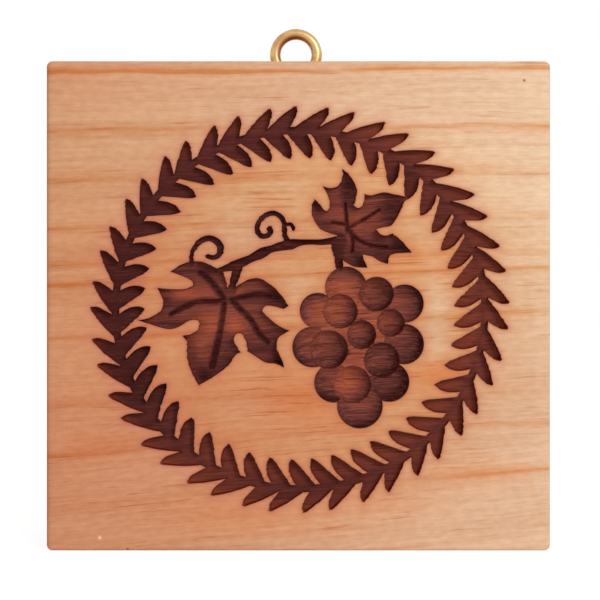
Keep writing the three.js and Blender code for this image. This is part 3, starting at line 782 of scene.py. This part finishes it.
radius = from_wreath_centre(spot_across, spot_up)
smoke *= np.where(radius < stem_radius, 1, smoke_outside)
warm = np.zeros(vert_count)
for *place, warmth in warm_places:
    if warmth > 0:
        warm += warmth * swell(spot_across, spot_up, *place)
    else:
        smoke += warmth * swell(spot_across, spot_up, *place)
in_ring = of_the_wreath(spot_across, spot_up)
depth_here = carved_depth(spot_across, spot_up)
to_tip = np.clip(np.abs(radius - stem_radius) / leaf_reach, 0, 1)
ring_scorch = wreath_scorch - paler_per_mm * spot_across - paler_tips * to_tip
ring_scorch -= np.where(radius > stem_radius, paler_outside + paler_outer_tips * to_tip**4, 0)
slant = np.clip((low_right[0] * spot_across + low_right[1] * spot_up) / inner_row_radius, 0, 1)
ring_scorch -= paler_low_right * slant * np.clip((stem_radius - radius) / 2, 0, 1)
for across, up, half_width, burnt_more in burnt_places:
    ring_scorch += burnt_more * swell(spot_across, spot_up, across, up, half_width, half_width)
scorch_and_shade = np.where(in_ring, ring_scorch, leaf_scorch + depth_here - vine_leaf_depth)
streaky = np.where(in_ring, 0, leaf_streakiness)
for line in (branch, bunch_stalk, lower_tendril, upper_tendril, small_tendril):
    scorch_and_shade += nearness(spot_across, spot_up, line, line_scorch_reach) * (line_scorch - scorch_and_shade)
in_left_leaf = within(spot_across, spot_up, vine_outlines[0])
on_stalk = (from_line(spot_across, spot_up, leaf_stalk) < stalk_reach) & ~in_left_leaf
scorch_and_shade = np.where(on_stalk, line_scorch, scorch_and_shade)
deepest = np.zeros(vert_count)
for grapes, wall, depth, outwards in (
    (grape_gaps, grape_gap_depth, grape_gap_depth, 0),
    (back_grapes, back_grape_wall, back_grape_depth, back_grape_turn),
    (front_grapes, front_grape_wall, front_grape_depth, 0),
):
    for across, up, size, darkness in grapes:
        darker_way = dark_side + outwards * (Vector((across, up)) - bunch_middle).normalized()
        darker_way.normalize()
        aside, above = (spot_across - across) / size, (spot_up - up) / size
        out = np.hypot(aside, above)
        here = wall + (depth - wall) * np.sqrt(np.clip(1 - out * out, 0, 1))
        turned_away = darker_way.x * aside + darker_way.y * above
        # Painted shade: darker towards the rim and on the side turned away, added to the grape's own scorch.
        tone = darkness + painted_rim_shade * out**2 + painted_side_shade * turned_away
        tone += painted_far_side_shade * np.maximum(turned_away, 0) ** 3
        tone = np.where(depth > grape_gap_depth, tone, darkness)
        inside = (out < bowl_edge) & (here > deepest)
        scorch_and_shade = np.where(inside, tone, scorch_and_shade)
        streaky = np.where(inside, 1, streaky)
        deepest = np.where(inside, here, deepest)
# These darkness values carry the real scorch and, in the grapes, painted shade at the rims and on one side.
vertex_values = {"haze": haze, "smoke": smoke, "warm": warm / warmest, "scorch_and_shade": scorch_and_shade, "streaky": streaky}
for name, values in vertex_values.items():
    block_mesh.attributes.new(name, "FLOAT", "POINT").data.foreach_set("value", np.clip(values, 0, 1))


def colour(red, green, blue):
    """A colour as a screen shows it, out of 255, in the renderer's own terms."""
    parts = [part / 255 for part in (red, green, blue)]
    return (*(part / 12.92 if part < 0.04 else ((part + 0.055) / 1.055) ** 2.4 for part in parts), 1)


def blend(tree, factor, first, second, mode="MIX"):
    return put(tree, "Mix", {0: factor, 6: first, 7: second}, data_type="RGBA", blend_type=mode).outputs[2]


def tinted(tree, share, tone, tint):
    """A tone times a tint where the share is one, and untouched where it is nought."""
    return blend(tree, share, tone, (*tint, 1), "MULTIPLY")


def varied(tree, share, tone, low, high):
    """A tone times a tint that runs from low to high as the share goes from nought to one."""
    return blend(tree, 1.0, tone, blend(tree, share, (*low, 1), (*high, 1)), "MULTIPLY")


def noise(tree, place, stretch, detail=2, roughness=0.5):
    stretched = put(tree, "VectorMath", {0: place, 1: stretch}, operation="MULTIPLY").outputs[0]
    inputs = {"Vector": stretched, "Scale": 1, "Detail": detail, "Roughness": roughness}
    return put(tree, "TexNoise", inputs).outputs[0]


def spread(tree, name):
    """One of the values spread over the block's surface from its vertices."""
    return put(tree, "Attribute", attribute_name=name).outputs["Fac"]


def ramp(tree, factor, stops, curve="LINEAR"):
    node = put(tree, "ValToRGB", {0: factor})
    node.color_ramp.interpolation = curve
    marks = node.color_ramp.elements
    while len(marks) < len(stops):
        marks.new(0.5)
    for mark, (place, value) in zip(marks, stops):
        mark.position = place
    for mark, (place, value) in zip(marks, stops):
        mark.color = value if isinstance(value, tuple) else (value, value, value, 1)
    return node.outputs[0]


def shares(tree, value, low, high):
    """How far a value is from low to high, between nought and one."""
    inputs = {"Value": value, "From Min": low, "From Max": high}
    return put(tree, "MapRange", inputs, interpolation_type="SMOOTHSTEP").outputs[0]


# Growth lines, in millimetres on the face: height at a measured distance left of the middle, strength at
# the left and at the right, and reach above and below. Then how much higher a line at such a height is
# at the same distance right of the middle.
growth_lines = [
    (-41.2, 0.02, 0.65, 2.6, 2), (-30.1, 0.65, 0.16, 5, 1.1), (-19.6, 0.4, 0.02, 2, 2),
    (-6.4, 0.6, 0.8, 1, 3), (4.3, 1, 0.5, 1.8, 1.6), (8.1, 0.65, 0.25, 4.4, 0.7),
    (15.8, 0.5, 0.5, 1.5, 1.5), (25.1, 0.6, 0.28, 3.4, 1), (35.6, 0.5, 0.6, 1.4, 2.8),
    (46.9, 1.4, 0.9, 2.2, 0.9),
]
growth_rise = [
    (-50, 8), (-33, 8), (-26, 7), (-18, 2.6), (-12, 4), (-1, 5.9), (3, 4.2), (7.8, 3.5),
    (10.5, 1.9), (17, 2.7), (26, 1.5), (36, 0.5), (47, 1),
]
growth_span = 56
growth_measured = 45
ring_lean, ring_bend = 0.25, 0.012

grain = bpy.data.node_groups.new("cherry_grain", "ShaderNodeTree")
grain.interface.new_socket("Vector", in_out="INPUT", socket_type="NodeSocketVector")
for name in ("Growth", "Tone", "Figure", "Fleck", "Thread", "Fibre", "Pores"):
    grain.interface.new_socket(name, in_out="OUTPUT", socket_type="NodeSocketFloat")
grain_in = grain.nodes.new("NodeGroupInput")
grain_out = grain.nodes.new("NodeGroupOutput")
per_mm = (1 / mm, 1 / mm, 1 / mm)
in_mm = put(grain, "VectorMath", {0: grain_in.outputs[0], 1: per_mm}, operation="MULTIPLY").outputs[0]
axes = put(grain, "SeparateXYZ", {0: in_mm}).outputs
below = calc(grain, "SUBTRACT", axes[1], front_face / mm)
height = calc(grain, "SUBTRACT", axes[2], face_middle / mm)
for stretch, sway in (((0.022, 0.02, 0.05), 2), ((0.11, 0.05, 0.2), 0.5)):
    swayed = noise(grain, in_mm, stretch, 1)
    height = scaled(grain, swayed, sway, calc(grain, "SUBTRACT", height, sway / 2))


def stop_at(line_height):
    """Where a height's stop stands on the ramps, which reach a whole span below and above the middle."""
    return (line_height + growth_span) / (2 * growth_span)


def on_ramp(socket):
    return calc(grain, "DIVIDE", calc(grain, "ADD", socket, growth_span), 2 * growth_span)


rise = ramp(grain, on_ramp(height), [(stop_at(line_height), more) for line_height, more in growth_rise])
way = calc(grain, "DIVIDE", calc(grain, "ADD", axes[0], growth_measured), 2 * growth_measured)
ring = calc(grain, "SUBTRACT", height, times(grain, rise, way))
curl = times(grain, below, scaled(grain, below, ring_bend, ring_lean))
ring = calc(grain, "SUBTRACT", ring, curl)
grown = put(grain, "CombineXYZ", {0: axes[0], 1: below, 2: ring}).outputs[0]
growth_sides = []
for side in (1, 2):
    stops = [(0.0, 0.0)]
    for line in growth_lines:
        for offset, value in ((-line[4], 0.0), (0, line[side]**0.25), (line[3], 0.0)):
            stops.append((stop_at(line[0] + offset), value))
    growth_sides.append(ramp(grain, on_ramp(ring), stops, "EASE"))
growth = blend(grain, way, *growth_sides)
core = calc(grain, "POWER", growth, 7)
shoulder = times(grain, growth, 0.38)
patchy = scaled(grain, noise(grain, grown, (0.045, 0.2, 0.6), 3), 3.4, -0.75)
patchy = calc(grain, "MAXIMUM", patchy, 0.1)
outcome = {
    "Growth": times(grain, scaled(grain, core, 0.9, shoulder), patchy),
    "Tone": noise(grain, grown, (0.012, 0.05, 0.12), 3),
    "Figure": noise(grain, grown, (0.02, 0.2, 1.1), 4, 0.6),
    "Fleck": noise(grain, grown, (0.42, 1.2, 1), 2),
    "Thread": noise(grain, grown, (0.07, 0.8, 1.9), 3, 0.6),
    "Fibre": noise(grain, grown, (0.12, 2.5, 4), 3, 0.65),
    "Pores": noise(grain, grown, (0.28, 6, 9), 1),
}
for name, socket in outcome.items():
    grain.links.new(socket, grain_out.inputs[name])


def grain_of(tree):
    """Places on the piece, and what the cherry's grain is like there."""
    place = put(tree, "TexCoord").outputs["Object"]
    node = tree.nodes.new("ShaderNodeGroup")
    node.node_tree = grain
    tree.links.new(place, node.inputs[0])
    return place, node.outputs


# The left edge is darkened in its colour: painted shade on its rounded edge. There are a pin knot near the
# right top corner, and a bruise and a speck near the left bottom one: place and radius in millimetres on the
# face, and colour.
left_edge_shade_width = 1.3 * mm
flaws = [
    ((45.5, 45.4), 0.42, colour(150, 92, 60)), ((-40, -46.7), 0.6, colour(238, 196, 158)),
    ((-34.4, -49), 0.4, colour(120, 66, 44)),
]
wood = plain_tree(bare_cherry)
wood_place, figure = grain_of(wood)
wood_axes = put(wood, "SeparateXYZ", {0: wood_place}).outputs
# Lighter and yellower to the right, redder and darker to the left, and varied from top to bottom: partly the
# wood's own tone and partly painted light falling off away from the lamp on the right.
to_right = shares(wood, wood_axes[0], -board_width * 0.62, board_width * 0.62)
to_top = calc(wood, "DIVIDE", wood_axes[2], board_height)
left_tone = ramp(wood, to_top, [
    (0.05, colour(209, 144, 104)), (0.18, colour(208, 137, 96)), (0.38, colour(208, 140, 98)),
    (0.64, colour(208, 145, 101)), (0.84, colour(211, 155, 113)), (1.0, colour(207, 143, 103)),
])
right_tone = ramp(wood, to_top, [
    (0.05, colour(228, 187, 153)), (0.25, colour(224, 181, 147)), (0.64, colour(228, 189, 152)),
    (0.9, colour(233, 198, 164)), (1.0, colour(231, 194, 161)),
])
tone = blend(wood, to_right, left_tone, right_tone)
cloud = shares(wood, figure["Tone"], 0.36, 0.64)
tone = varied(wood, cloud, tone, (0.96, 0.93, 0.9), (1.02, 1.04, 1.06))
lined = shares(wood, figure["Figure"], 0.36, 0.64)
tone = varied(wood, lined, tone, (0.96, 0.93, 0.89), (1.02, 1.04, 1.06))
tone = tinted(wood, figure["Growth"], tone, (0.86, 0.56, 0.27))
thread = shares(wood, figure["Thread"], 0.56, 0.7)
thread = times(wood, thread, shares(wood, figure["Tone"], 0.7, 0.44))
smoke_here = spread(wood, "smoke")
warm_here = spread(wood, "warm")
reddened = scaled(wood, warm_here, 2.2, calc(wood, "ADD", smoke_here, 0.8))
thread = times(wood, thread, reddened)
tone = tinted(wood, thread, tone, (0.82, 0.6, 0.44))
fleck = shares(wood, figure["Fleck"], 0.3, 0.7)
tone = varied(wood, fleck, tone, (0.95, 0.92, 0.9), (1.03, 1.06, 1.07))
fine = shares(wood, figure["Fibre"], 0.35, 0.65)
tone = varied(wood, fine, tone, (0.98, 0.96, 0.95), (1.02, 1.03, 1.04))
pores = shares(wood, figure["Pores"], 0.66, 0.74)
tone = blend(wood, times(wood, pores, 0.16), tone, colour(150, 84, 52))
for (across, up), reach, mark_tone in flaws:
    flaw_place = (across * mm, front_face, face_middle + up * mm)
    gap = put(wood, "VectorMath", {0: wood_place, 1: flaw_place}, operation="DISTANCE").outputs["Value"]
    tone = blend(wood, shares(wood, gap, reach * mm, reach * mm * 0.2), tone, mark_tone)
# Painted shade along the rounded left edge, away from the lamp.
left_edge_shade = shares(wood, wood_axes[0], left_edge_shade_width - board_width / 2, -board_width / 2)
tone = tinted(wood, left_edge_shade, tone, (0.84, 0.74, 0.72))
wood_normal = put(wood, "SeparateXYZ", {0: put(wood, "TexCoord").outputs["Normal"]}).outputs
end_grain = shares(wood, calc(wood, "ABSOLUTE", wood_normal[0]), 0.5, 0.95)
tone = blend(wood, times(wood, end_grain, 0.5), tone, colour(150, 88, 58))
tone = tinted(wood, smoke_here, tone, (0.95, 0.76, 0.5))
tone = tinted(wood, warm_here, tone, (0.96, 0.62, 0.35))
haze_here = spread(wood, "haze")
haze_edge = calc(wood, "POWER", haze_here, 5)
haze_tone = blend(wood, to_right, colour(196, 112, 98), colour(198, 108, 60))
tone = blend(wood, times(wood, haze_here, 0.55), tone, haze_tone)
tone = blend(wood, times(wood, haze_edge, 0.5), tone, colour(130, 56, 44))
grit = scaled(wood, figure["Pores"], -0.6, figure["Fibre"])
wood_bump = put(wood, "Bump", {"Strength": 0.25, "Distance": 0.00006, "Height": grit}).outputs[0]
wood_gloss = scaled(wood, figure["Fibre"], 0.16, 0.44)
wood_look = put(wood, "BsdfPrincipled", {
    "Base Color": tone, "Roughness": wood_gloss, "Normal": wood_bump, "Specular IOR Level": 0.35,
})
show_surface(wood, wood_look)

char = plain_tree(scorched_cherry)
char_figure = grain_of(char)[1]
scorch_and_shade_here = spread(char, "scorch_and_shade")
normal_parts = put(char, "SeparateXYZ", {0: put(char, "TexCoord").outputs["Normal"]}).outputs
# Steep walls are mixed towards a dark red, least on walls facing right and down and most on walls facing left
# and up: painted shade on one side of each hollow, halved in the grapes.
steep = calc(char, "SUBTRACT", 1, calc(char, "ABSOLUTE", normal_parts[1]))
wall = shares(char, steep, 0.12, 0.75)
wall_side = scaled(char, normal_parts[0], -0.8, times(char, normal_parts[2], 0.6))
wall = times(char, wall, scaled(char, wall_side, 0.36, 0.58))
streaky_here = spread(char, "streaky")
in_bowl = calc(char, "GREATER_THAN", streaky_here, 0.7)
wall = times(char, wall, scaled(char, in_bowl, -0.5, 1))
uneven = calc(char, "SUBTRACT", char_figure["Figure"], 0.5)
uneven = times(char, uneven, scaled(char, streaky_here, 0.9, 0.3))
darkness = calc(char, "ADD", scorch_and_shade_here, uneven)
char_tone = ramp(char, darkness, [
    (0.0, colour(166, 82, 53)), (0.3, colour(132, 62, 46)), (0.6, colour(90, 41, 37)),
    (1.0, colour(50, 16, 15)),
])
streak = shares(char, char_figure["Fibre"], 0.46, 0.66)
streak = times(char, streak, shares(char, char_figure["Pores"], 0.3, 0.65))
streak = times(char, streak, scaled(char, scorch_and_shade_here, -0.45, 0.62))
streak = times(char, streak, scaled(char, streaky_here, 0.9, 0.5))
char_tone = blend(char, streak, char_tone, colour(180, 104, 82))
half_burnt = times(char, scorch_and_shade_here, calc(char, "SUBTRACT", 1, scorch_and_shade_here))
char_tone = blend(char, times(char, streaky_here, half_burnt), char_tone, colour(118, 68, 62))
furrow = shares(char, char_figure["Fibre"], 0.48, 0.32)
furrow = times(char, furrow, scaled(char, streaky_here, 0.4, 0.2))
char_tone = blend(char, furrow, char_tone, colour(62, 22, 18))
seam = shares(char, char_figure["Thread"], 0.54, 0.7)
char_tone = blend(char, times(char, seam, 0.55), char_tone, colour(64, 24, 20))
char_tone = blend(char, wall, char_tone, colour(108, 28, 16))
char_ripple = {"Strength": 0.5, "Distance": 0.00012, "Height": char_figure["Fibre"]}
char_bump = put(char, "Bump", char_ripple).outputs[0]
char_look = put(char, "BsdfPrincipled", {
    "Base Color": char_tone, "Roughness": 0.75, "Normal": char_bump, "Specular IOR Level": 0.05,
})
show_surface(char, char_look)

# The screw eye: one length of brass wire with a gimlet point, a rolled wood thread and a plain neck,
# bent to one side and round into a closed loop. It is screwed in until the loop beds in its dish.
loop_first, loop_last = math.radians(-46), math.radians(241)
loop_steps = 24
wire_sides = 32
thread_root = 0.8 * mm
thread_pitch = 1.4 * mm
thread_steps = 24
thread_run_in = 0.4
ridge_foot, ridge_half = thread_root * 0.85, 0.45 * mm
gimlet_point = 0.04 * mm
# The wire's end is rounded: further along and narrower, in millimetres
end_rounding = [(0.1, 0.05), (0.16, 0.16)]
joint_across = loop_radius * math.cos(loop_first)
bend = [
    (0, neck_top - wire_radius / 2), (joint_across * 0.1, neck_top + wire_radius * 0.25),
    (joint_across * 0.37, neck_top + wire_radius * 0.95),
]
turns = np.linspace(loop_first, loop_last, loop_steps + 1)
round_loop = [(loop_radius * math.cos(turn), loop_radius * math.sin(turn)) for turn in turns]
wire_path = smooth_line(bend + round_loop, 0.25 * mm)
wire_way = np.gradient(wire_path, axis=0)
stations = [
    ((0, gimlet_tip), (0, 1), gimlet_point), ((0, thread_foot), (0, 1), thread_root),
    ((0, thread_top), (0, 1), thread_root), ((0, thread_top + thread_pitch / 2), (0, 1), wire_radius),
]
stations += [(place, way, wire_radius) for place, way in zip(wire_path, wire_way)]
last_place, last_way = wire_path[-1], wire_way[-1] / np.linalg.norm(wire_way[-1])
for further, narrower in end_rounding:
    stations.append((last_place + last_way * further * mm, last_way, wire_radius - narrower * mm))


def ring_at(place, way, radius):
    middle = Matrix.Translation((eye_across + place[0], 0, loop_height + place[1]))
    lean = Matrix.Rotation(math.atan2(way[0], way[1]), 4, "Y")
    return middle @ lean @ Matrix.Diagonal((radius, radius, 1, 1))


wire = bmesh.new()
frames = [ring_at(*station) for station in stations]
first_ring = bmesh.ops.create_circle(wire, cap_ends=True, segments=wire_sides, radius=1, matrix=frames[0])
ring_edges = list({edge for vert in first_ring["verts"] for edge in vert.link_edges if edge.is_boundary})
for before, after in zip(frames, frames[1:]):
    next_ring = bmesh.ops.extrude_edge_only(wire, edges=ring_edges)["geom"]
    ring_edges = only(bmesh.types.BMEdge, next_ring)
    ring_verts = only(bmesh.types.BMVert, next_ring)
    bmesh.ops.transform(wire, matrix=after @ before.inverted(), verts=ring_verts)
bmesh.ops.edgeloop_fill(wire, edges=ring_edges)
bmesh.ops.recalc_face_normals(wire, faces=wire.faces)

ridge = bmesh.new()
ridge_start = loop_height + thread_foot + thread_pitch * thread_run_in
ridge_profile = [(ridge_foot, -ridge_half), (thread_crest, 0), (ridge_foot, ridge_half)]
ridge_corners = [ridge.verts.new((eye_across + out, 0, ridge_start + along)) for out, along in ridge_profile]
ridge_face = ridge.faces.new(ridge_corners)
ridge_turns = thread_length / thread_pitch - 2 * thread_run_in
ridge_steps = round(ridge_turns * thread_steps)
ridge_section = ridge_corners + list(ridge_face.edges) + [ridge_face]
bmesh.ops.spin(
    ridge, geom=ridge_section, cent=(eye_across, 0, 0), axis=(0, 0, 1), steps=ridge_steps,
    dvec=(0, 0, thread_pitch / thread_steps), angle=ridge_steps * 2 * math.pi / thread_steps,
)
bmesh.ops.recalc_face_normals(ridge, faces=ridge.faces)
eye_mesh = combined(as_mesh(wire, "wire"), as_mesh(ridge, "ridge"), "UNION")
eye_mesh.name = "brass_eye"
smoothed(eye_mesh, 35)
brass = bpy.data.materials.new("bright_brass")
brass_tree = plain_tree(brass)
brass_place = put(brass_tree, "TexCoord").outputs["Object"]
dulled = shares(brass_tree, noise(brass_tree, brass_place, (420, 420, 420), 3), 0.42, 0.66)
scuffs = noise(brass_tree, brass_place, (2600, 2600, 700), 2)
brass_tone = blend(brass_tree, dulled, colour(214, 178, 122), colour(194, 150, 98))
brass_axes = put(brass_tree, "SeparateXYZ", {0: brass_place}).outputs
from_middle = calc(brass_tree, "SUBTRACT", brass_axes[0], eye_across)
above_middle = calc(brass_tree, "SUBTRACT", brass_axes[2], loop_height)
squares = times(brass_tree, above_middle, above_middle)
squares = scaled(brass_tree, from_middle, from_middle, squares)
loop_gap = calc(brass_tree, "SQRT", squares)
# Painted shade and reflection: the inside of the loop at its left and top is a dull brown, as though in shade
# and mirroring the board.
inner = shares(brass_tree, loop_gap, loop_radius + 0.35 * mm, loop_radius - 0.6 * mm)
painted_inner_shade = times(brass_tree, inner, shares(brass_tree, from_middle, 3.5 * mm, -1.5 * mm))
brass_tone = blend(brass_tree, painted_inner_shade, brass_tone, colour(168, 120, 82))
brass_gloss = scaled(brass_tree, dulled, 0.1, 0.34)
brass_bump = put(brass_tree, "Bump", {"Strength": 0.05, "Distance": 0.00004, "Height": scuffs}).outputs[0]
brass_look = put(brass_tree, "BsdfPrincipled", {
    "Base Color": brass_tone, "Metallic": 1.0, "Roughness": brass_gloss, "Normal": brass_bump,
})
show_surface(brass_tree, brass_look)
eye_mesh.materials.clear()
eye_mesh.materials.append(brass)
eye = show_object("brass_eye", eye_mesh)
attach(eye, "root")
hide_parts("screw_eye")
